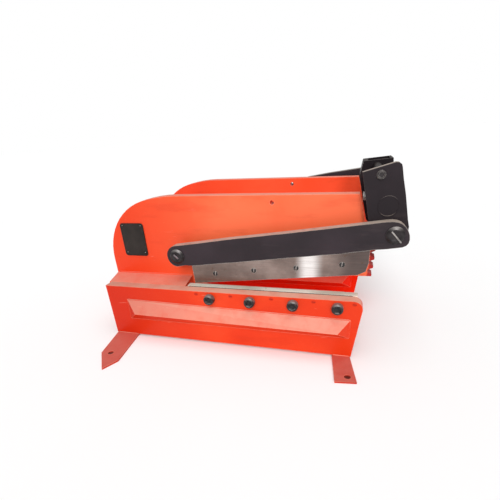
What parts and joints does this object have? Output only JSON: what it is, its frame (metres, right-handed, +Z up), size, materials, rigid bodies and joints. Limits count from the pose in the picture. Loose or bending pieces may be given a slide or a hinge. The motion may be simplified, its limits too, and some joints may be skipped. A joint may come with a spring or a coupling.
{
  "type": "hand lever plate shear",
  "caption": "Hand lever plate shear: C-shaped frame plates, hinged blade arm and a geared handle head that rolls down a fixed toothed edge.",
  "frame": {"origin": "bench level, under the middle of the machine's bounding box", "axes": "+X along the blades towards the open end, +Y from front to back, +Z up"},
  "size_m": [0.5261, 0.456, 0.2898],
  "materials": {
    "orange_paint": "glossy orange-red enamel",
    "black_paint": "satin black, worn bright on the edges",
    "blade_steel": "ground tool steel",
    "black_steel": "black oxide steel",
    "zinc_steel": "zinc plated",
    "nameplate_black": "plain blank plate"
  },
  "bodies": {
    "frame": {"front_lower_plate": "orange_paint", "front_stiffener": "orange_paint", "front_ledge_block": "orange_paint", "front_seat_bar": "orange_paint", "front_frame_plate": "orange_paint", "rear_lower_plate": "orange_paint", "rear_stiffener": "orange_paint", "rear_ledge_block": "orange_paint", "rear_seat_bar": "orange_paint", "rear_frame_plate": "orange_paint", "lower_blade": "blade_steel", "lower_blade_screw_1": "black_steel", "lower_blade_screw_2": "black_steel", "lower_blade_screw_3": "black_steel", "lower_blade_screw_4": "black_steel", "blade_adjusting_screw_1": "black_steel", "blade_adjusting_screw_2": "black_steel", "blade_adjusting_screw_3": "black_steel", "blade_adjusting_screw_4": "black_steel", "blade_adjusting_screw_5": "black_steel", "nameplate": "nameplate_black", "left_base_strap": "orange_paint", "right_base_strap": "orange_paint", "hinge_shaft": "black_steel", "hinge_nut": "black_steel", "hinge_spacer_front": "black_steel", "hinge_distance_tube": "orange_paint", "hinge_spacer_rear": "black_steel", "corner_distance_tube": "orange_paint", "front_stop_screw": "zinc_steel", "rear_stop_screw": "zinc_steel"},
    "blade_arm": {"front_link_bar": "black_paint", "upper_blade": "blade_steel", "blade_carrier": "black_paint", "upper_blade_screw_1": "black_steel", "upper_blade_screw_2": "black_steel", "upper_blade_screw_3": "black_steel", "upper_blade_screw_4": "black_steel", "rear_arm_plate": "black_paint", "head_shaft": "black_steel", "head_shaft_nut": "black_steel"},
    "geared_head": {"front_cheek": "black_paint", "rear_cheek": "black_paint", "front_cheek_plug": "black_paint", "rear_cheek_plug": "black_paint", "front_pinion": "black_steel", "rear_pinion": "black_steel", "front_sleeve": "black_paint", "rear_sleeve": "black_paint", "handle_socket": "black_paint", "front_cross_tube": "black_paint", "cheek_bolt": "black_steel"}
  },
  "joints": [
    {"name": "arm_swing", "type": "hinge", "parent": "frame", "child": "blade_arm", "pos_m": [-0.10305, 0.06455, 0.1528], "axis": [0, 1, 0], "range_deg": [0, 6.9]},
    {"name": "head_swing", "type": "hinge", "parent": "blade_arm", "child": "geared_head", "pos_m": [0.24306, 0.06455, 0.19566], "axis": [0, 1, 0], "range_deg": [0, 82.6]}
  ],
  "couplings": [
    {"joint": "head_swing", "follows": "arm_swing", "ratio": 11.917}
  ]
}
